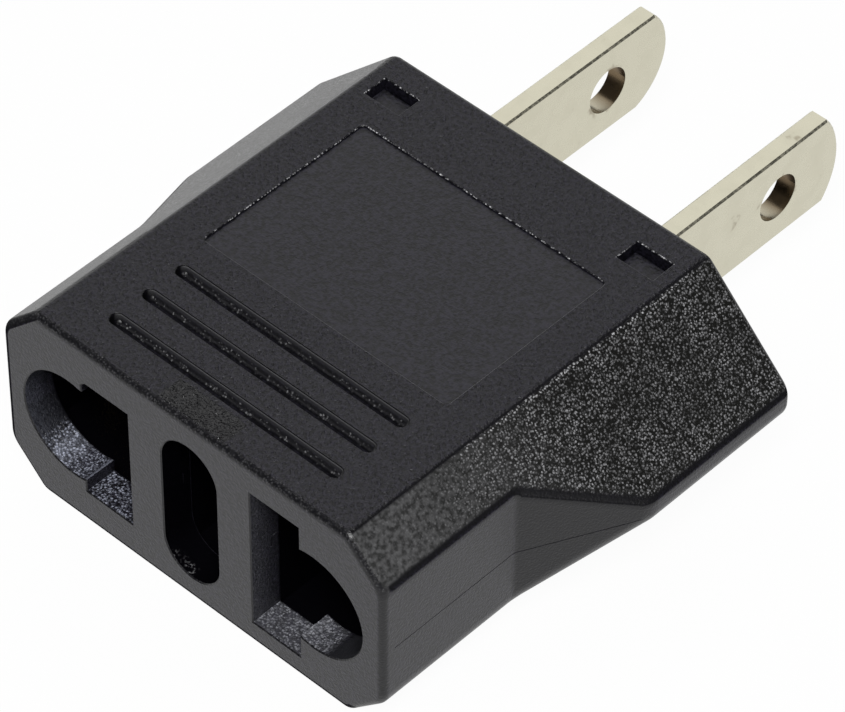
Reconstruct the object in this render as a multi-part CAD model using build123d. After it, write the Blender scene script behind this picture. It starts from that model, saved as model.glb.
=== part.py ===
"""Travel adapter: two moulded half shells, two flat blades and their sprung contacts.

X runs to the right, Y from the socket face to the blades, Z up. The origin is at the
bottom centre of the whole adapter, which lies on its flat lower face. Depths are
measured along Y from the socket face. All sizes are in millimetres.
"""
from build123d import *
import math
import os

# Housing
body_length = 28.0
body_height = 13.65
bay_wall = 1.5
nose_facet = 2.5
grip_band = 1.6
facet_angle = 45.0
flare_start = 9.95
flare_end = 16.75
parting_drop = 0.5
side_wall = 1.3
front_wall = 2.1
rear_wall = 2.2

# Rounded edges of the housing
top_fold_radius = 0.9
side_fold_radius = 1.5
flare_inner_radius = 0.8
flare_outer_radius = 2.2
end_edge_radius = 0.45

# Seam between the shells, open as a fine groove except on the socket face
seam_height = 0.05
seam_depth = 0.03
seam_start = 0.9
lip_height = 0.8
lip_width = 0.55
lip_gap = 0.05
peg_radius = 0.6
peg_length = 1.6
peg_gap = 0.05
peg_depth = 12.0

# Recessed panel and grip grooves
panel_width = 17.8
panel_start = 10.15
panel_rear = 1.85
panel_recess = 0.15
panel_corner = 0.3
groove_count = 3
groove_first = 2.82
groove_pitch = 2.45
groove_radius = 0.39
groove_length = 16.7
groove_recess = 0.65
groove_rim = 0.07
panel_rim = 0.05

# Socket openings
socket_drop = 0.2
pin_pitch = 19.0
round_centre = 9.0
left_round_radius = 3.55
right_round_radius = 3.5
left_socket_rise = 0.12
slot_inner = 4.5
slot_outer = 8.0
left_slot_height = 8.5
right_slot_height = 10.0
left_slot_bevel = 0.3
middle_width = 4.05
middle_height = 10.1
middle_rise = 0.1
socket_rim = 0.07
barrier_start = 2.2
barrier_end = 4.4
barrier_gap = 1.0

# Blades, with their ears inside the housing
blade_pitch = 12.7
blade_thickness = 1.25
blade_height = 6.25
left_reach = 16.25
right_reach = 16.35
blade_rise = 0.1
blade_edge = 0.12
left_tip_radius = 3.8
left_tip_rise = 0.45
right_tip_radius = 5.0
blade_hole_radius = 1.5
blade_hole_reach = 11.2
blade_gap = 0.05
tang_length = 5.1
ear_height = 1.0
ear_length = 1.8
ear_gap = 0.1
ear_rib = 1.0
ear_rib_reach = 1.3

# Contacts, bent from strip and spread to pass a round pin
pin_radius = 2.4
pin_gap = 0.05
strip = 0.4
bend_radius = 0.6
contact_start = 7.0
contact_lead = 1.4
contact_flare = 0.5
leaf_length = 8.0
leaf_inner = 7.35
tail_length = 2.9
tail_gap = 2.3

# Rivets between blades and contacts
rivet_radius = 0.95
rivet_gap = 0.05
rivet_head_radius = 1.6
rivet_head_height = 0.55
rivet_head_slope = 0.35

# Snap hooks of the lower shell in the windows of the upper shell
window_edge = 0.95
window_width = 2.55
window_length = 1.65
window_rear = 2.0
window_rim = 0.05
latch_depth = 1.9
latch_height = 1.7
hook_gap = 0.12
hook_arm = 0.8
hook_nose = 0.6
hook_lead = 0.12
hook_sink = 0.6
latch_gap = 0.06

# Places worked out from the sizes
face_y = -(body_length + right_reach) / 2
nose_width = 2 * (round_centre + right_round_radius + bay_wall)
top_width = nose_width - 2 * nose_facet
grip_width = top_width + (body_height - grip_band) / math.tan(math.radians(facet_angle))
window_inner = top_width / 2 - window_edge - window_width
wall_end = body_length - rear_wall
window_end = body_length - window_rear
window_start = window_end - window_length
panel_end = window_start - panel_rear
ledge_top = body_height - latch_depth
mid_z = body_height / 2
parting_z = mid_z - parting_drop
socket_z = mid_z - socket_drop
blade_z = mid_z + blade_rise
blade_x = blade_pitch / 2
pin_x = pin_pitch / 2
barrier_depth = wall_end - tang_length - barrier_gap
rivet_depth = wall_end - tail_gap - tail_length / 2
strip_depth = wall_end - tail_gap - tail_length - bend_radius
past = 1.0


def up_z(sketch, bottom, top):
    """Extrude a sketch drawn as (X, depth) between two heights."""
    return extrude(Plane((0, face_y, bottom)) * sketch, amount=top - bottom)


def along_y(sketch, start, end):
    """Extrude a sketch drawn as (X, Z) between two depths."""
    plane = Plane(origin=(0, face_y + end, 0), x_dir=(1, 0, 0), z_dir=(0, -1, 0))
    return extrude(plane * sketch, amount=end - start)


def along_x(sketch, start, end):
    """Extrude a sketch drawn as (depth, Z) between two places across the adapter."""
    plane = Plane(origin=(start, face_y, 0), x_dir=(0, 1, 0), z_dir=(1, 0, 0))
    return extrude(plane * sketch, amount=end - start)


def block(x_range, depth_range, z_range):
    """A box given by its limits across, in depth and in height."""
    x0, x1 = sorted(x_range)
    sketch = Pos((x0 + x1) / 2, sum(depth_range) / 2) * Rectangle(x1 - x0, depth_range[1] - depth_range[0])
    return up_z(sketch, *z_range)


def plan_outline():
    """The housing from above: straight nose, flare and wide grip."""
    nose = nose_width / 2
    grip = grip_width / 2
    right = [(nose, 0), (nose, flare_start), (grip, flare_end), (grip, body_length)]
    left = [(-x, y) for x, y in reversed(right)]
    return Polygon(*right, *left, align=None)


def section_outline():
    """The housing from the front: flat top and bottom with sloping facets between."""
    top = top_width / 2
    half = body_height / 2
    apex = top + half / math.tan(math.radians(facet_angle))
    corners = [(top, half), (-top, half), (-apex, 0), (-top, -half), (top, -half), (apex, 0)]
    return Pos(0, mid_z) * Polygon(*corners, align=None)


def inner_volume(side, front, rear):
    """The room that is left when the housing's walls have the given thicknesses."""
    plan = up_z(offset(plan_outline(), -side, kind=Kind.INTERSECTION), 0, body_height)
    section = along_y(offset(section_outline(), -side, kind=Kind.INTERSECTION), front, body_length - rear)
    return plan & section


def lengthways_edges(solid):
    """Edges that run from the socket face towards the blades."""
    last = face_y + body_length
    inside = [e for e in solid.edges() if face_y + past < e.center().Y < last - past]
    return [e for e in inside if abs(e.tangent_at(0.5).Y) > abs(e.tangent_at(0.5).Z)]


def outer_body():
    """The whole housing as one solid, with its folds and end edges rounded."""
    plan = up_z(plan_outline(), 0, body_height)
    body = plan & along_y(section_outline(), 0, body_length)
    for depth, radius in ((flare_start, flare_inner_radius), (flare_end, flare_outer_radius)):
        upright = body.edges().filter_by(Axis.Z)
        body = fillet([e for e in upright if abs(e.center().Y - face_y - depth) < past], radius)
    top_folds = [e for e in lengthways_edges(body) if abs(e.center().X) < top_width / 2 + seam_depth]
    body = fillet(top_folds, top_fold_radius)
    side_folds = [e for e in lengthways_edges(body) if abs(e.center().X) > nose_width / 2 - seam_depth]
    body = fillet(side_folds, side_fold_radius)
    ends = body.faces().sort_by(Axis.Y)
    return fillet(ends[0].outer_wire().edges() + ends[-1].outer_wire().edges(), end_edge_radius)


def seam_groove():
    """The fine groove along both sides and the rear where the shells meet."""
    heights = (parting_z - seam_height / 2, parting_z + seam_height / 2)
    outside = block((-grip_width, grip_width), (seam_start, body_length + past), heights)
    return outside - up_z(offset(plan_outline(), -seam_depth, kind=Kind.INTERSECTION), *heights)


def socket_cut(side):
    """One socket opening: an upright slot with a round pin's bay on its outer side."""
    if side < 0:
        bay_radius = left_round_radius
        centre_z = socket_z + left_socket_rise
        top = left_slot_height / 2
        corners = [(-slot_inner, -top), (-slot_inner, top), (left_slot_bevel - slot_outer, top),
                   (-slot_outer, top - left_slot_bevel), (-slot_outer, -top)]
    else:
        bay_radius = right_round_radius
        centre_z = socket_z
        top = right_slot_height / 2
        corners = [(slot_outer, -top), (slot_outer, top), (slot_inner, top), (slot_inner, -top)]
    bay = Pos(side * round_centre, 0) * Circle(bay_radius)
    return Pos(0, centre_z) * (Polygon(*corners, align=None) + bay)


def middle_cut():
    """The upright slot with round ends between the two sockets."""
    return Pos(0, socket_z + middle_rise) * SlotOverall(middle_height, middle_width, rotation=90)


def blade_cut(side):
    """The slot for one blade in the rear wall."""
    slot = Rectangle(blade_thickness + 2 * blade_gap, blade_height + 2 * blade_gap)
    return Pos(side * blade_x, blade_z) * slot


def rims(body, direction, start=-past, end=body_length):
    """Edges of the openings in the body's outermost face, between two depths."""
    face = body.faces().sort_by(direction)[-1]
    edges = [e for wire in face.inner_wires() for e in wire.edges()]
    return [e for e in edges if start < e.center().Y - face_y < end]


def grooves(axis_height, clear_height):
    """Ball-ended bars that cut the grip grooves, with upright sides from their axes outwards."""
    end = groove_length / 2
    straight = end - groove_radius
    half = Line((-end, 0), (end, 0)) + TangentArc((end, 0), (straight, groove_radius), tangent=(0, 1))
    half += Line((straight, groove_radius), (-straight, groove_radius))
    half += TangentArc((-end, 0), (-straight, groove_radius), tangent=(0, 1))
    bar = Pos(0, face_y, axis_height) * revolve(make_face(half), axis=Axis.X)
    cutter = bar + up_z(SlotOverall(groove_length, 2 * groove_radius), *sorted((axis_height, clear_height)))
    return [Pos(0, groove_first + k * groove_pitch, 0) * cutter for k in range(groove_count)]


def panel():
    """The shallow recess in the top."""
    length = panel_end - panel_start
    sketch = Pos(0, panel_start + length / 2) * RectangleRounded(panel_width, length, panel_corner)
    return up_z(sketch, body_height - panel_recess, body_height + past)


def window(side):
    """One window in the top, through which the snap hook shows."""
    across = (side * window_inner, side * (window_inner + window_width))
    return block(across, (window_start, window_end), (ledge_top, body_height + past))


def housing():
    """The whole housing as one solid, with every opening and its broken rim."""
    body = outer_body() - along_y(middle_cut(), -past, front_wall + past)
    for side in (-1, 1):
        body -= along_y(socket_cut(side), -past, front_wall + past)
    body = chamfer(rims(body, -Axis.Y), socket_rim)
    groove_axis = groove_recess - groove_radius
    body -= grooves(body_height - groove_axis, body_height + past)
    body -= grooves(groove_axis, -past)
    body = chamfer(rims(body, Axis.Z) + rims(body, -Axis.Z), groove_rim)
    body -= [window(side) for side in (-1, 1)]
    body = chamfer(rims(body, Axis.Z, start=panel_end), window_rim)
    body -= panel()
    return chamfer(rims(body, Axis.Z, start=panel_start - past / 2, end=panel_end + past / 2), panel_rim)


def barriers(low, high):
    """The two walls that keep the contacts away from the middle slot."""
    return [block((side * barrier_start, side * barrier_end), (front_wall, barrier_depth), (low, high))
            for side in (-1, 1)]


def ear_ribs(low, high):
    """Ribs that hold each blade's ears against the rear wall."""
    end = wall_end - ear_length - ear_gap
    across = blade_thickness / 2 + ear_rib_reach
    return [block((side * blade_x - across, side * blade_x + across), (end - ear_rib, end), (low, high))
            for side in (-1, 1)]


def pegs(radius, low, high):
    """Upright pins in the middle of the barriers, or the room for them."""
    across = (barrier_start + barrier_end) / 2
    circles = [Pos(side * across, peg_depth) * Circle(radius) for side in (-1, 1)]
    return up_z(Sketch() + circles, low, high)


def shell_blank(body, low, high):
    """One half of the housing, hollowed, with its share of the seam."""
    half = body & block((-grip_width, grip_width), (-past, body_length + past), (low, high))
    half -= inner_volume(side_wall, front_wall, rear_wall)
    return half - seam_groove()


def pierced(shell):
    """The shell with the ways through its end walls cut clear."""
    shell -= along_y(middle_cut(), -past, front_wall + past)
    for side in (-1, 1):
        shell -= along_y(socket_cut(side), -past, front_wall + past)
        shell -= along_y(blade_cut(side), wall_end - past, body_length + past)
    return shell


def lip(width):
    """The band on which the shells overlap, from the inner wall outwards by a width."""
    heights = (parting_z, parting_z + lip_height + width - lip_width)
    band = block((-grip_width, grip_width), (0, body_length), heights)
    room = inner_volume(side_wall, front_wall, rear_wall)
    return (inner_volume(side_wall - width, front_wall - width, rear_wall - width) - room) & band


def ledge(side):
    """The ledge under one window, on which the snap hook catches."""
    across = (side * (window_inner - hook_gap), side * (window_inner + window_width + hook_gap))
    start = window_start + hook_gap + hook_arm + latch_gap
    return block(across, (start, wall_end + lip_width), (ledge_top - latch_height, ledge_top))


def upper_shell(body):
    """The upper half, with ledges for the snap hooks and holes for the pegs."""
    ceiling = body_height - side_wall
    shell = shell_blank(body, parting_z, body_height + past)
    shell += barriers(parting_z, ceiling)
    shell += ear_ribs(blade_z + blade_height / 2 + blade_gap, ceiling)
    shell -= lip(lip_width + lip_gap)
    shell += [ledge(side) for side in (-1, 1)]
    shell -= pegs(peg_radius + peg_gap, parting_z, parting_z + peg_length + peg_gap)
    return pierced(shell)


def hook(side):
    """One snap hook, an upright arm with a nose that sits over the ledge."""
    start = window_start + hook_gap
    back = start + hook_arm
    nose = back + hook_nose
    top = body_height - hook_sink
    under = ledge_top + latch_gap
    profile = Polygon((start, side_wall), (back, side_wall), (back, under), (nose, under),
                      (nose, top - hook_lead), (nose - hook_lead, top), (start, top), align=None)
    low, high = sorted((side * (window_inner + hook_gap), side * (window_inner + window_width - hook_gap)))
    return along_x(profile, low, high)


def lower_shell(body):
    """The lower half, with the lip, the pegs and the snap hooks."""
    shell = shell_blank(body, -past, parting_z)
    shell += barriers(side_wall, parting_z)
    shell += ear_ribs(side_wall, blade_z - blade_height / 2 - blade_gap)
    shell += lip(lip_width)
    shell += [hook(side) for side in (-1, 1)]
    shell += pegs(peg_radius, parting_z - peg_length, parting_z + peg_length)
    return pierced(shell)


def blade(side, reach, tip_radius, tip_rise=0):
    """One flat blade with a rounded tip, a hole near it and ears inside the housing."""
    start = wall_end - tang_length
    tip = body_length + reach
    outline = Pos((start + tip) / 2, 0) * Rectangle(tip - start, blade_height)
    ear_centre = wall_end - (ear_gap + ear_length) / 2
    outline += Pos(ear_centre, 0) * Rectangle(ear_length, blade_height + 2 * ear_height)
    crown_centre = tip - tip_radius
    crown = Pos(crown_centre, tip_rise) * Circle(tip_radius)
    straight = Pos((start + crown_centre) / 2, 0) * Rectangle(crown_centre - start, body_height)
    outline = outline & (crown + straight)
    plate = along_x(Pos(0, blade_z) * outline, side * blade_x - blade_thickness / 2,
                    side * blade_x + blade_thickness / 2)
    outside = [e for e in plate.faces().filter_by(Axis.X).edges() if e.center().Y > face_y + wall_end]
    plate = chamfer(outside, blade_edge)
    hole = Pos(body_length + blade_hole_reach, blade_z) * Circle(blade_hole_radius)
    plate -= along_x(hole, side * blade_x - past, side * blade_x + past)
    rivet_hole = Pos(rivet_depth, blade_z) * Circle(rivet_radius + rivet_gap)
    return plate - along_x(rivet_hole, side * blade_x - past, side * blade_x + past)


def contact(side):
    """One contact: a sleeve open to the middle, on a strip that turns in to the blade."""
    web_x = pin_x + pin_radius + pin_gap + strip / 2
    tail_x = blade_x + (blade_thickness + strip) / 2
    leaf_z = pin_radius + pin_gap + strip / 2
    route = FilletPolyline((side * web_x, contact_start + contact_lead), (side * web_x, strip_depth),
                           (side * tail_x, strip_depth), (side * tail_x, wall_end - tail_gap),
                           radius=bend_radius)
    height = leaf_z + strip / 2
    piece = up_z(trace(route, line_width=strip), socket_z - height, socket_z + height)
    for up in (-1, 1):
        leaf = Polyline((contact_start, socket_z + up * (leaf_z + contact_flare)),
                        (contact_start + contact_lead, socket_z + up * leaf_z),
                        (contact_start + leaf_length, socket_z + up * leaf_z))
        low, high = sorted((side * leaf_inner, side * (web_x + strip / 2)))
        piece += along_x(trace(leaf, line_width=strip), low, high)
    rivet_hole = Pos(rivet_depth, blade_z) * Circle(rivet_radius + rivet_gap)
    return piece - along_x(rivet_hole, side * tail_x - past, side * tail_x + past)


def rivet(side):
    """One rivet with a low head on the blade and on the contact."""
    inner = blade_x - blade_thickness / 2
    outer = blade_x + blade_thickness / 2 + strip
    first = inner - rivet_head_height
    last = outer + rivet_head_height
    crown = rivet_head_radius - rivet_head_slope
    half = Polygon((first, 0), (last, 0), (last, crown), (outer, rivet_head_radius), (outer, rivet_radius),
                   (inner, rivet_radius), (inner, rivet_head_radius), (first, crown), align=None)
    piece = revolve(half, axis=Axis.X)
    if side < 0:
        piece = mirror(piece, about=Plane.YZ)
    return Pos(0, face_y + rivet_depth, blade_z) * piece


def main():
    """Build every piece and write one STEP file for each."""
    body = housing()
    pieces = {
        "upper_shell": upper_shell(body),
        "lower_shell": lower_shell(body),
        "blade_left": blade(-1, left_reach, left_tip_radius, left_tip_rise),
        "blade_right": blade(1, right_reach, right_tip_radius),
        "contact_left": contact(-1),
        "contact_right": contact(1),
        "rivet_left": rivet(-1),
        "rivet_right": rivet(1),
    }
    os.makedirs("parts", exist_ok=True)
    for name, piece in pieces.items():
        export_step(piece, f"parts/{name}.step")
        print(name, round(piece.volume, 2), piece.is_valid)


main()
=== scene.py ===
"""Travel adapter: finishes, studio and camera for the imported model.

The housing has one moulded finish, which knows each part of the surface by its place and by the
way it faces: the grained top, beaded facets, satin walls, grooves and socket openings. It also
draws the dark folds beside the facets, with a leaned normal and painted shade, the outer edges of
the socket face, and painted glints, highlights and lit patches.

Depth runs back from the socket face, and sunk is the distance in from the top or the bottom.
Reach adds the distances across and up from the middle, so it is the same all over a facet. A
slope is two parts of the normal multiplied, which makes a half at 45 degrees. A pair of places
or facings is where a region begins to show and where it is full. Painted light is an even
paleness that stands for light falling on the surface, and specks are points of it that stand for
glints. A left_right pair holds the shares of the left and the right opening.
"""
import math

import bpy
from mathutils import Matrix, Vector


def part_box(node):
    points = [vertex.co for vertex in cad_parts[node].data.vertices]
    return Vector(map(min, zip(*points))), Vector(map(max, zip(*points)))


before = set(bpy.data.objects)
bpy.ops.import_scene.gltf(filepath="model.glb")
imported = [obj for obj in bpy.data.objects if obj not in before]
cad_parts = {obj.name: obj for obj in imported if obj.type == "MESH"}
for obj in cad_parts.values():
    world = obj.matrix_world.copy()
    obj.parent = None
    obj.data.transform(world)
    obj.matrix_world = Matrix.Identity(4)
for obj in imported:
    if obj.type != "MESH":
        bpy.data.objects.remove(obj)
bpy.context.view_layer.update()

MM = 0.001

# Measures of the housing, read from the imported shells
housing_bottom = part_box("lower_shell")[0][2]
housing_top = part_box("upper_shell")[1][2]
housing_middle = (housing_bottom + housing_top) / 2
half_height = (housing_top - housing_bottom) / 2
face_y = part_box("upper_shell")[0][1]
housing_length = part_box("upper_shell")[1][1] - face_y

# Places on the housing's outside
soft = 0.1 * MM
facet_reach = 18.3 * MM
outside_reach = (17.4 * MM, 17.8 * MM)
top_sunk = (0.12 * MM, 0.045 * MM)
nose_length = 16.0 * MM
nose_half_width = 14.0 * MM
edge_depth = 0.5 * MM
edge_width = 0.7 * MM
fold_depth = (0.5 * MM, 0.8 * MM)

# Broken edges of the panel and of the windows
rim_start = 8.6 * MM
rim_from_rear = (1.0 * MM, 2.0 * MM)
rim_sunk = 0.25 * MM

# Grip grooves
groove_start = 2.0 * MM
groove_end = 8.7 * MM
groove_half_length = 8.55 * MM
groove_lip = (0.01 * MM, 0.04 * MM)
groove_sunk = 0.75 * MM
groove_first = 2.82 * MM
groove_pitch = 2.45 * MM
groove_wall_sunk = (0.4875 * MM, 0.0)
groove_spark_sunk = (0.325 * MM, 0.455 * MM)

# Openings in the socket face, and the hollow behind them
mouth_depth = 2.1 * MM
mouth_half_height = 5.3 * MM
mouth_inner = 3.0 * MM
mouth_outer = 12.7 * MM
bay_start = 8.2 * MM
step_start = (7.98 * MM, 8.0 * MM)
middle_half_width = 2.5 * MM
middle_floor_half_width = 2.2 * MM
middle_floor_depth = (0.8 * MM, 0.2 * MM)
hollow_sunk = (0.8 * MM, 1.0 * MM)
hollow_across = (12.9 * MM, 12.7 * MM)
hollow_reach = (17.4 * MM, 17.2 * MM)

# Ways that a surface faces
facet_slope = (0.36, 0.47)
end_slope = (0.44, 0.49)
folded_slope = (0.15, 0.35)
level_up = (0.9, 0.98)
straight_forward = (0.3, 0.1)
beaded_turn = (-0.1, 0.1)
mouth_floor_up = (0.68, 0.82)
mouth_floor_side = (-0.28, -0.15)
middle_floor_up = (0.5, 0.7)
middle_floor_side = (0.0, 0.3)
smooth_bay_side = (-0.2, -0.4)
step_up = (0.5, 0.8)
far_wall_forward = (-0.2, -0.6)
groove_end_side = (-0.1, -0.4)
edge_away = (0.0, -0.12)
edge_forward = (-0.1, -0.3)
front_edge_up = (0.1, 0.4)
front_edge_forward = (-0.1, -0.4)
fold_side = (0.73, 0.8)
fold_up = (0.1, 0.3)

# Grain and relief of the moulding
midway = 0.5
noise_range = (0.3, 0.7)
top_grain_size = 0.22 * MM
top_grain_detail = 2.0
top_grain_height = 0.14 * MM
panel_grain_height = 0.05 * MM
wall_grain_size = 0.13 * MM
wall_grain_height = 0.025 * MM
grit_size = 0.17 * MM
cloud_size = 2.04 * MM
facet_relief = 0.03 * MM
mouth_relief = 0.05 * MM
groove_slope = -0.7
edge_lean = 1.3

# Pale specks of painted glint, each in a cell of its own
speck_size = 0.14 * MM
speck_shake = 0.09 * MM
speck_distance = (0.62, 0.12)
speck_strength = (0.15, 1.0)
spark_chance = (0.6, 0.95)

# Painted glints on the facets
facet_speck = 0.46
nose_facet_speck = 0.046
nose_painted_light = 0.075
blotch_size = 0.27 * MM
blotch_roughness = 0.4
blotch_strength = (0.4, 1.6)
cloud_strength = (0.6, 1.1)

# Painted light in the openings: lit walls, sheen, glints, a highlight and a hot spot
mouth_wall_painted_light = (0.014, 0.07)
mouth_wall_strength = (0.4, 1.0)
mouth_wall_left_right = (1.0, 1.1)
# Painted sheen on the smooth walls of the bays
smooth_bay_painted_sheen = 0.025
# Painted highlight on the step in the left opening
step_highlight = 0.25
floor_speck_distance = (0.65, 0.2)
floor_speck_strength = (0.25, 1.0)
floor_speck_left_right = (0.6, 0.36)
# Painted light over the right floor, and a painted hot spot along the bay
right_floor_painted_light = 0.06
hot_spot_light = 0.45
hot_spot_side = 0.37
hot_spot_spread = 0.3
middle_speck = 0.6
middle_grit = (0.5, 0.7)
middle_cloud = (0.35, 0.6)
mouth_tint_left_right = (1.0, 0.4)

# Painted light, glints and highlights on the grooves and edges
groove_wall_painted_light = 0.1
groove_speck = 0.25
groove_end_highlight = 0.12
# Painted glints along the socket face's upper edge
front_edge_speck = 0.08
# Painted highlight on the panel's rim
rim_highlight = 0.3

# Colours and gloss of the moulding
deep_colour = (0.0015, 0.0014, 0.0022, 1.0)
plastic_colour = (0.0135, 0.0125, 0.02, 1.0)
facet_colour = (0.0042, 0.0042, 0.0036, 1.0)
# Colours of the painted light, outside and in the openings
painted_light_colour = (0.62, 0.62, 0.64, 1.0)
mouth_painted_light_colour = (0.53, 0.56, 0.68, 1.0)
# Share of the grain left in the folds, which darkens them as painted shade
folded_shade_grain = 0.2
wall_roughness = 0.36
top_roughness = 0.44
glossy_share = 0.4
plastic_shine = 0.4

# Blades
nickel_colour = (0.60, 0.575, 0.455, 1.0)
stain_and_bore_colour = (0.16, 0.11, 0.06, 1.0)
blade_hole_y = 17.025 * MM
blade_hole_z = 6.925 * MM
blade_hole_radius = 1.5 * MM
# The bores are darker and browner, most on the walls that face forward
blade_bore_side = (0.7, 0.3)
blade_bore_darkening = (0.35, 0.95)
blade_bore_forward = (0.3, -0.6)
blade_ring_width = 0.5 * MM
blade_ring_strength = 0.12
blade_cloud_size = 1.4 * MM
blade_cloud_detail = 3.0
blade_cloud_roughness = 0.6
blade_stain_cloud = (0.66, 0.78)
blade_stain = 0.5
blade_arris_slope = (0.1, 0.3)
blade_arris_grain = 0.2 * MM
blade_arris_roughness = 0.25
blade_roughness = (0.22, 0.34)

# Contacts and rivets
brass_colour = (0.78, 0.57, 0.24, 1.0)
brass_cloud_size = 1.2 * MM
brass_cloud_detail = 2.0
brass_roughness = (0.25, 0.4)

# Studio, in degrees and metres, with the brightness of a lamp's face where white is 1
sky_grey = 0.09
floor_half = 3.0
floor_drop = 0.02 * MM
floor_white = 0.78
floor_shine = 0.96
softboxes = {
    "rear_softbox": {"azimuth": 223.0, "elevation": 44.0, "distance": 0.9, "side": 1.0,
                     "brightness": 1.02},
    "front_softbox": {"azimuth": 40.0, "elevation": 55.0, "distance": 0.75, "side": 0.25,
                      "brightness": 28.0},
}

# Camera, fitted to the view of the photograph
camera_azimuth = 43.093
camera_elevation = 45.782
camera_roll = 0.297
camera_distance = 285.61 * MM
camera_aim = Vector((1.027, -5.46, 6.85)) * MM
camera_sensor = 36.0
camera_lens = 225.4
camera_range = (0.01, 20.0)
quarter_turn = 90.0

# The two inputs and the output of a mixing node, for values and for colours
mix_sockets = {"FLOAT": (2, 3, 0), "RGBA": (6, 7, 2)}


class Finish:
    """One material and short ways to add and join its nodes."""

    def __init__(self, name):
        self.material = bpy.data.materials.new(name)
        self.material.use_nodes = True
        self.tree = self.material.node_tree
        self.surface = self.tree.nodes["Principled BSDF"]

    def read_place(self):
        """Makes the place on the piece ready, with its parts and those of the normal."""
        coordinates = self.add("TexCoord").outputs
        self.place = coordinates["Object"]
        self.position = self.add("SeparateXYZ", {"Vector": self.place}).outputs
        self.facing = self.add("SeparateXYZ", {"Vector": coordinates["Normal"]}).outputs

    def add(self, kind, inputs=None, **settings):
        """A node with its settings made and its inputs filled with values or joined to sockets."""
        made = self.tree.nodes.new("ShaderNode" + kind)
        for setting, value in settings.items():
            setattr(made, setting, value)
        for socket, value in (inputs or {}).items():
            if isinstance(value, bpy.types.NodeSocket):
                self.tree.links.new(value, made.inputs[socket])
            else:
                made.inputs[socket].default_value = value
        return made

    def join(self, socket, surface_input):
        """Feeds an input of the surface shader."""
        self.tree.links.new(socket, self.surface.inputs[surface_input])

    def fix(self, surface_input, value):
        """Fixes an input of the surface shader."""
        self.surface.inputs[surface_input].default_value = value

    def math(self, operation, *values):
        """One operation on one or two values."""
        return self.add("Math", dict(enumerate(values)), operation=operation).outputs[0]

    def combine(self, operation, values):
        """The same operation on each next value in turn."""
        result = values[0]
        for value in values[1:]:
            result = self.math(operation, result, value)
        return result

    def total(self, *terms):
        """The terms added together."""
        return self.combine("ADD", terms)

    def product(self, *factors):
        """The factors multiplied together."""
        return self.combine("MULTIPLY", factors)

    def largest(self, *values):
        """The largest of the values."""
        return self.combine("MAXIMUM", values)

    def less(self, value, taken):
        """The value less what is taken from it."""
        return self.math("SUBTRACT", value, taken)

    def unsigned(self, value):
        """The value without its sign."""
        return self.math("ABSOLUTE", value)

    def band(self, value, start, end, low=0.0, high=1.0):
        """A smooth change from low to high as the value goes from start to end."""
        made = self.add("MapRange", {"Value": value, "From Min": start, "From Max": end,
                                     "To Min": low, "To Max": high}, interpolation_type="SMOOTHSTEP")
        return made.outputs["Result"]

    def above(self, value, limit):
        """0 up to the limit and 1 from a little past it."""
        return self.band(value, limit, limit + soft)

    def below(self, value, limit):
        """0 from the limit up and 1 from a little short of it."""
        return self.band(value, limit, limit - soft)

    def between(self, share, low, high):
        """A smooth change from low to high as the share goes from 0 to 1."""
        return self.band(share, 0.0, 1.0, low, high)

    def without(self, share):
        """What the share leaves of a whole."""
        return self.between(share, 1.0, 0.0)

    def slope(self, first, second):
        """The normal's parts along two axes multiplied together, without a sign."""
        return self.unsigned(self.product(self.facing[first], self.facing[second]))

    def noise(self, size, detail=1.0, roughness=0.5):
        """Cloudy noise whose lumps have about the given size."""
        made = self.add("TexNoise", {"Vector": self.place, "Scale": 1 / size, "Detail": detail,
                                     "Roughness": roughness})
        return made.outputs["Fac"]

    def contrast(self, noise, low=0.0, high=1.0):
        """The middle range of a noise spread from low to high."""
        return self.band(noise, *noise_range, low, high)

    def bump(self, height):
        """The normal of a relief whose height is in millimetres."""
        return self.add("Bump", {"Height": height, "Distance": MM, "Strength": 1.0}).outputs["Normal"]

    def sum_of_vectors(self, first, second):
        """Two vectors added together."""
        return self.add("VectorMath", {0: first, 1: second}, operation="ADD").outputs["Vector"]

    def mix(self, share, first, second, kind="RGBA"):
        """A change from the first value or colour to the second as the share goes from 0 to 1."""
        low, high, result = mix_sockets[kind]
        made = self.add("Mix", {"Factor": share, low: first, high: second}, data_type=kind)
        return made.outputs[result]


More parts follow.
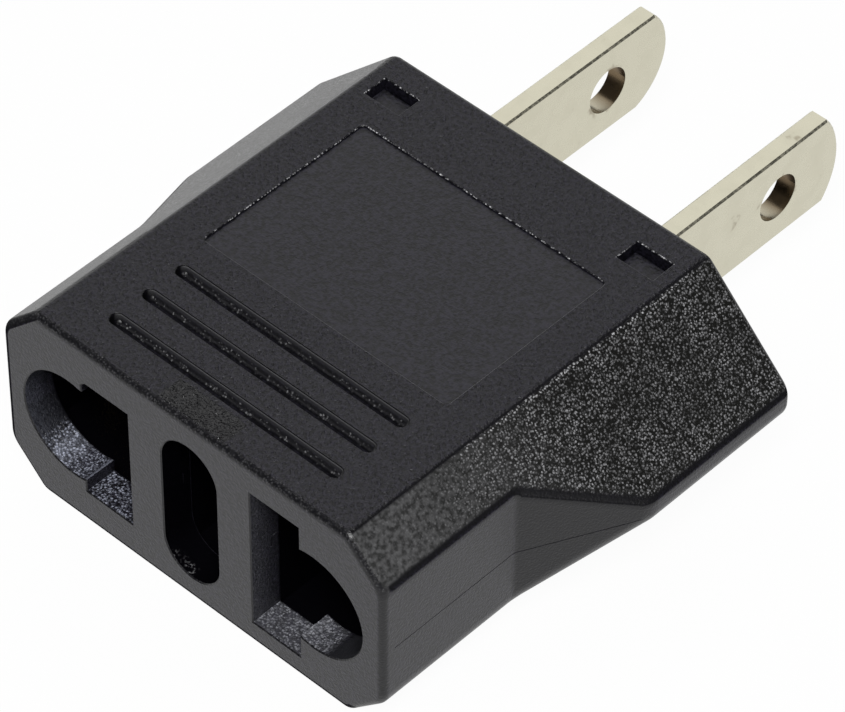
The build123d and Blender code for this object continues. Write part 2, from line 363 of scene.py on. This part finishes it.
class HousingPlastic(Finish):
    """Black moulded plastic, grained on top, beaded on the facets and satin on the walls.

    Each region of the surface is a share from 0 outside it to 1 within it. The regions
    choose the grain, the relief, the painted glints, highlights and shade, the colour and the gloss.
    """

    def __init__(self):
        super().__init__("housing_plastic")
        self.read_place()
        self.measure()
        self.mark_outside()
        self.mark_mouths()
        self.mark_grooves()
        self.make_grain()
        self.make_specks()
        self.join(self.normal(), "Normal")
        self.join(self.colour(), "Base Color")
        self.join(self.roughness(), "Roughness")
        self.fix("Specular IOR Level", plastic_shine)

    def measure(self):
        """Distances that are the same on both sides, and for the top as for the bottom."""
        self.across = self.unsigned(self.position["X"])
        self.depth = self.less(self.position["Y"], face_y)
        self.from_rear = self.less(housing_length, self.depth)
        self.from_middle = self.unsigned(self.less(self.position["Z"], housing_middle))
        self.sunk = self.less(half_height, self.from_middle)
        self.reach = self.total(self.across, self.from_middle)
        self.rightward = self.band(self.position["X"], -MM, MM)

    def mark_outside(self):
        """Facets, level faces, rounded folds, and the rim of the panel and the windows."""
        self.outside = self.band(self.reach, *outside_reach)
        sideways = self.slope("X", "Z")
        endways = self.slope("Y", "Z")
        sloping = self.band(sideways, *facet_slope)
        self.facet = self.product(sloping, self.outside)
        self.rim = self.product(self.largest(sloping, self.band(endways, *end_slope)),
                                self.above(self.depth, rim_start),
                                self.band(self.from_rear, *rim_from_rear),
                                self.below(self.sunk, rim_sunk))
        self.beaded = self.band(self.less(self.facing["X"], self.facing["Y"]), *beaded_turn)
        self.level = self.band(self.unsigned(self.facing["Z"]), *level_up)
        self.folded = self.band(self.total(sideways, self.slope("X", "Y"), endways), *folded_slope)

    def mark_mouths(self):
        """Walls and floors of the openings in the socket face, and the glossy hollow inside, which with
        the middle slot is darkened as painted shade.
        """
        straight = self.product(self.below(self.depth, mouth_depth),
                                self.band(self.unsigned(self.facing["Y"]), *straight_forward))
        self.mouth = self.product(straight,
                                  self.above(self.across, mouth_inner),
                                  self.below(self.across, mouth_outer),
                                  self.below(self.from_middle, mouth_half_height))
        self.smooth_bay = self.band(self.facing["X"], *smooth_bay_side)
        self.textured_mouth = self.product(self.mouth, self.without(self.smooth_bay))
        self.mouth_floor = self.product(self.mouth,
                                        self.band(self.facing["Z"], *mouth_floor_up),
                                        self.band(self.facing["X"], *mouth_floor_side))
        self.middle_floor = self.product(straight,
                                         self.below(self.across, middle_floor_half_width),
                                         self.band(self.facing["Z"], *middle_floor_up),
                                         self.band(self.facing["X"], *middle_floor_side),
                                         self.band(self.depth, *middle_floor_depth))
        middle_wall = self.product(straight, self.below(self.across, middle_half_width))
        hollow = self.product(self.above(self.depth, mouth_depth),
                              self.above(self.from_rear, mouth_depth),
                              self.band(self.sunk, *hollow_sunk),
                              self.band(self.across, *hollow_across),
                              self.band(self.reach, *hollow_reach))
        # Glossy, and darkened in the colour as painted shade
        self.glossy = self.largest(hollow, middle_wall)

    def mark_grooves(self):
        """The grip grooves, and the place across each from 0 in front to 1 behind."""
        self.groove = self.product(self.above(self.depth, groove_start),
                                   self.below(self.depth, groove_end),
                                   self.below(self.across, groove_half_length),
                                   self.band(self.sunk, *groove_lip),
                                   self.below(self.sunk, groove_sunk))
        from_front = self.less(self.depth, groove_first - groove_pitch / 2)
        pitches = self.math("DIVIDE", from_front, groove_pitch)
        self.groove_place = self.math("FRACT", pitches)

    def make_grain(self):
        """Noises of several sizes, for the grain, the beads and the uneven spread of the painted
        glints.
        """
        self.grit = self.noise(grit_size)
        self.cloud = self.noise(cloud_size)
        self.top_grain = self.noise(top_grain_size, top_grain_detail)
        self.wall_grain = self.noise(wall_grain_size)

    def make_specks(self):
        """Round specks for painted glints, in cells that a fine noise shakes out of line, and the
        brightest ones.
        """
        scatter = self.add("TexNoise", {"Vector": self.place, "Scale": 1 / speck_size, "Detail": 0.0})
        shake = self.add("VectorMath", {"Vector": scatter.outputs["Color"], "Scale": speck_shake},
                         operation="SCALE")
        shaken = self.sum_of_vectors(self.place, shake.outputs["Vector"])
        cell = self.add("TexVoronoi", {"Vector": shaken, "Scale": 1 / speck_size}, feature="F1").outputs
        self.from_cell = cell["Distance"]
        self.chance = self.add("SeparateColor", {"Color": cell["Color"]}).outputs["Red"]
        self.speck = self.product(self.band(self.from_cell, *speck_distance),
                                  self.between(self.chance, *speck_strength))
        self.spark = self.product(self.speck, self.band(self.chance, *spark_chance))

    def relief(self):
        """Height in millimetres: beads, grain, and groove floors that slope like saw teeth."""
        top = self.band(self.sunk, *top_sunk)
        top_height = self.between(top, panel_grain_height / MM, top_grain_height / MM)
        layers = (
            (self.less(self.grit, midway), self.facet, facet_relief / MM),
            (self.wall_grain, self.textured_mouth, mouth_relief / MM),
            (self.less(self.groove_place, midway), self.groove, groove_slope * groove_pitch / MM),
            (self.top_grain, self.level, top_height),
            (self.wall_grain, wall_grain_height / MM),
        )
        return self.total(*[self.product(*layer) for layer in layers])

    def outer_edge(self):
        """The rounded edge of the socket face, on the left and below, within the outline."""
        to_right = self.position["X"]
        beyond_wall = self.less(-nose_half_width, to_right)
        beyond_bottom = self.less(housing_bottom, self.position["Z"])
        beyond_facet = self.less(self.less(self.from_middle, to_right), facet_reach)
        beyond = self.largest(beyond_wall, beyond_bottom, beyond_facet)
        away = self.math("MINIMUM", self.facing["X"], self.facing["Z"])
        return self.product(self.band(away, *edge_away),
                            self.band(self.facing["Y"], *edge_forward),
                            self.below(self.depth, edge_depth),
                            self.above(beyond, -edge_width))

    def normal(self):
        """The relief's normal, leaned upward at the outer edge and at the fold under a facet."""
        fold = self.product(self.band(self.unsigned(self.facing["X"]), *fold_side),
                            self.band(self.facing["Z"], *fold_up),
                            self.outside,
                            self.band(self.depth, *fold_depth))
        amount = self.product(self.largest(self.outer_edge(), fold), edge_lean)
        lean = self.add("CombineXYZ", {"Z": amount}).outputs["Vector"]
        leaned = self.sum_of_vectors(self.bump(self.relief()), lean)
        return self.add("VectorMath", {0: leaned}, operation="NORMALIZE").outputs["Vector"]

    def pale_facets(self):
        """Painted glints in specks that thin out towards the nose, where pale blotches take their
        place.
        """
        nose = self.band(self.depth, nose_length, 0.0)
        blotch = self.noise(blotch_size, roughness=blotch_roughness)
        blotches = self.product(nose, self.contrast(blotch, *blotch_strength), nose_painted_light)
        specks = self.product(self.speck,
                              self.contrast(self.cloud, *cloud_strength),
                              self.between(nose, facet_speck, nose_facet_speck))
        return self.product(self.facet, self.total(blotches, specks))

    def pale_mouth_walls(self):
        """Painted light in specks on the openings' walls, lit most at the face and less deeper in, and
        on the left only round the bay.
        """
        lit = self.largest(self.above(self.across, bay_start), self.rightward)
        return self.product(self.textured_mouth, lit,
                            self.between(self.chance, *mouth_wall_strength),
                            self.between(self.rightward, *mouth_wall_left_right),
                            self.band(self.depth, mouth_depth, 0.0, *mouth_wall_painted_light))

    def pale_mouth_floors(self):
        """Painted glints in coarse specks on the openings' floors, a painted hot spot along the bay,
        and even painted light on the right floor.
        """
        # Painted hot spot: a streak where the floor leans to face right
        off_streak = self.unsigned(self.less(self.facing["X"], hot_spot_side))
        hot_spot = self.product(self.band(off_streak, hot_spot_spread, 0.0), hot_spot_light)
        specks = self.product(self.total(self.band(self.from_cell, *floor_speck_distance), hot_spot),
                              self.between(self.chance, *floor_speck_strength),
                              self.between(self.rightward, *floor_speck_left_right))
        right_floor_light = self.product(self.rightward, right_floor_painted_light)
        return self.product(self.mouth_floor, self.total(specks, right_floor_light))

    def pale_step(self):
        """A pale line of painted highlight on the step between the floors of the left opening."""
        return self.product(self.mouth,
                            self.band(self.facing["Z"], *step_up),
                            self.below(self.across, bay_start),
                            self.band(self.across, *step_start),
                            self.between(self.rightward, step_highlight, 0.0))

    def pale_middle_floor(self):
        """Glints at the foot of the middle slot."""
        return self.product(self.middle_floor,
                            self.band(self.grit, *middle_grit),
                            self.band(self.cloud, *middle_cloud),
                            middle_speck)

    def pale_grooves(self):
        """Painted light on the far walls with painted glints low down, and painted highlights at the
        right ends.
        """
        wall = self.band(self.sunk, *groove_wall_sunk, 0.0, groove_wall_painted_light)
        sparks = self.product(self.spark, self.band(self.sunk, *groove_spark_sunk), groove_speck)
        far_wall = self.product(self.band(self.facing["Y"], *far_wall_forward),
                                self.total(wall, sparks))
        right_end = self.product(self.band(self.facing["X"], *groove_end_side),
                                 self.band(self.position["X"], 0.0, MM), groove_end_highlight)
        return self.product(self.groove, self.largest(far_wall, right_end))

    def pale_edge(self):
        """Painted glints in specks along the socket face's upper edge."""
        return self.product(self.below(self.depth, edge_depth),
                            self.band(self.facing["Z"], *front_edge_up),
                            self.band(self.facing["Y"], *front_edge_forward),
                            self.speck, front_edge_speck)

    def pale_rim(self):
        """Painted glints in specks on the beaded sides of the panel's rim, and plain pale edges of
        painted highlight on the others.
        """
        plain = self.between(self.beaded, rim_highlight, 0.0)
        return self.product(self.rim, self.total(self.product(self.beaded, self.speck), plain))

    def colour(self):
        """Black with its grain, darkened as painted shade in the folds and the hollow, under painted
        glints, highlights and lit patches.
        """
        wall_grain = self.contrast(self.wall_grain)
        grain = self.mix(self.level, wall_grain, self.contrast(self.top_grain), "FLOAT")
        # Painted shade: the grain fades to the deep colour in the folds and in the glossy hollow and
        # middle slot
        grain = self.product(grain, self.between(self.folded, 1.0, folded_shade_grain),
                             self.without(self.glossy))
        plastic = self.mix(grain, deep_colour, plastic_colour)
        plastic = self.mix(self.facet, plastic, facet_colour)
        # The painted light is bluer in the openings, most on the left
        tint = self.product(self.mouth, self.between(self.rightward, *mouth_tint_left_right))
        pale = self.mix(tint, painted_light_colour, mouth_painted_light_colour)
        # Painted sheen on the smooth walls of the bays
        smooth_wall_sheen = self.product(self.mouth, self.smooth_bay, smooth_bay_painted_sheen)
        # Painted light: glints, highlights, lit walls, sheen and a hot spot laid over the plastic
        painted_light = self.largest(self.pale_facets(), self.pale_mouth_walls(), smooth_wall_sheen,
                             self.pale_mouth_floors(), self.pale_step(), self.pale_middle_floor(),
                             self.pale_grooves(), self.pale_edge(), self.pale_rim())
        return self.mix(painted_light, plastic, pale)

    def roughness(self):
        """Satin walls, a duller top and a glossier hollow."""
        return self.product(self.between(self.level, wall_roughness, top_roughness),
                            self.between(self.glossy, 1.0, glossy_share))


def plated_blade():
    """Satin nickel plate with faint brown stains, darker bores and broken edges."""
    plate = Finish("plated_blade")
    plate.read_place()
    along = plate.less(plate.position["Y"], blade_hole_y)
    up = plate.less(plate.position["Z"], blade_hole_z)
    from_hole = plate.math("SQRT", plate.total(plate.product(along, along), plate.product(up, up)))
    # The bores are darker and browner, most on the walls that face forward
    bore_darkening = plate.product(plate.band(plate.unsigned(plate.facing["X"]), *blade_bore_side),
                               plate.below(from_hole, blade_hole_radius + soft),
                               plate.band(plate.facing["Y"], *blade_bore_forward, *blade_bore_darkening))
    cloud = plate.noise(blade_cloud_size, blade_cloud_detail, blade_cloud_roughness)
    ring = plate.band(from_hole, blade_hole_radius + blade_ring_width, blade_hole_radius,
                      0.0, blade_ring_strength)
    face_stain = plate.band(plate.total(cloud, ring), *blade_stain_cloud, 0.0, blade_stain)
    stain_and_bore_darkening = plate.largest(face_stain, bore_darkening)
    plate.join(plate.mix(stain_and_bore_darkening, nickel_colour, stain_and_bore_colour), "Base Color")
    arris = plate.band(plate.slope("X", "Z"), *blade_arris_slope)
    grain = plate.contrast(plate.noise(blade_arris_grain), 0.0, blade_arris_roughness)
    broken = plate.product(arris, grain)
    plate.join(plate.total(plate.contrast(cloud, *blade_roughness), broken), "Roughness")
    plate.fix("Metallic", 1.0)
    return plate.material


def contact_brass():
    """Bare stamped brass strip, a little dulled."""
    strip = Finish("contact_brass")
    strip.place = strip.add("TexCoord").outputs["Object"]
    cloud = strip.noise(brass_cloud_size, brass_cloud_detail)
    strip.join(strip.contrast(cloud, *brass_roughness), "Roughness")
    strip.fix("Base Color", brass_colour)
    strip.fix("Metallic", 1.0)
    return strip.material


def studio_floor():
    """A white floor that keeps the object's shadow and shows white in mirrors."""
    ground = Finish("studio_floor")
    ground.fix("Base Color", (floor_white, floor_white, floor_white, 1.0))
    ground.fix("Roughness", 1.0)
    ground.fix("Specular IOR Level", 0.0)
    path = ground.add("LightPath").outputs
    seen = ground.largest(path["Is Camera Ray"], path["Is Glossy Ray"], path["Is Transmission Ray"])
    white = ground.add("Emission", {"Color": (1.0, 1.0, 1.0, 1.0), "Strength": 1.0})
    both = ground.add("MixShader", {0: ground.product(seen, floor_shine),
                                    1: ground.surface.outputs["BSDF"],
                                    2: white.outputs["Emission"]})
    output = ground.tree.nodes["Material Output"]
    ground.tree.links.new(both.outputs["Shader"], output.inputs["Surface"])
    return ground.material


def paint(node, material):
    """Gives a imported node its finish."""
    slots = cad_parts[node].data.materials
    slots.clear()
    slots.append(material)


def place_in_scene(name, data):
    """A new object of the scene that holds the given mesh, lamp or camera."""
    made = bpy.data.objects.new(name, data)
    bpy.context.scene.collection.objects.link(made)
    return made


def outward(azimuth, elevation):
    """The direction out from the adapter at angles round from the socket face and up."""
    turn = math.radians(azimuth)
    rise = math.radians(elevation)
    return Vector((math.sin(turn) * math.cos(rise), -math.cos(turn) * math.cos(rise), math.sin(rise)))


def floor():
    """The square floor that the adapter lies on."""
    signs = ((-1, -1), (1, -1), (1, 1), (-1, 1))
    corners = [(x * floor_half, y * floor_half, -floor_drop) for x, y in signs]
    mesh = bpy.data.meshes.new("floor")
    mesh.from_pydata(corners, [], [(0, 1, 2, 3)])
    mesh.materials.append(studio_floor())
    made = place_in_scene("floor", mesh)


def softbox(name, azimuth, elevation, distance, side, brightness):
    """A square lamp aimed at the adapter."""
    light = bpy.data.lights.new(name, "AREA")
    light.shape = "SQUARE"
    light.size = side
    light.energy = brightness * math.pi * side * side
    out = outward(azimuth, elevation)
    made = place_in_scene(name, light)
    made.location = out * distance
    made.rotation_mode = "QUATERNION"
    made.rotation_quaternion = out.to_track_quat("Z", "Y")


def studio():
    """Floor, dim sky and soft lamps."""
    floor()
    world = bpy.data.worlds.new("studio_sky")
    world.use_nodes = True
    sky = world.node_tree.nodes["Background"]
    sky.inputs["Color"].default_value = (sky_grey, sky_grey, sky_grey, 1.0)
    sky.inputs["Strength"].default_value = 1.0
    bpy.context.scene.world = world
    for name, settings in softboxes.items():
        softbox(name, **settings)


def camera():
    """The camera at the photograph's viewing angle."""
    back = outward(camera_azimuth, camera_elevation)
    roll = Matrix.Rotation(math.radians(camera_roll), 3, back)
    right = roll @ outward(camera_azimuth + quarter_turn, 0.0)
    up = back.cross(right)
    data = bpy.data.cameras.new("camera")
    data.sensor_fit = "HORIZONTAL"
    data.sensor_width = camera_sensor
    data.lens = camera_lens
    data.clip_start, data.clip_end = camera_range
    made = place_in_scene("camera", data)
    axes = Matrix((right, up, back)).transposed()
    made.matrix_world = Matrix.Translation(camera_aim + back * camera_distance) @ axes.to_4x4()
    bpy.context.scene.camera = made


bpy.context.scene.view_settings.view_transform = "Standard"
housing = HousingPlastic().material
blades = plated_blade()
brass = contact_brass()
for node in ("upper_shell", "lower_shell"):
    paint(node, housing)
for side in ("left", "right"):
    paint(f"blade_{side}", blades)
    paint(f"contact_{side}", brass)
    paint(f"rivet_{side}", brass)
studio()
camera()
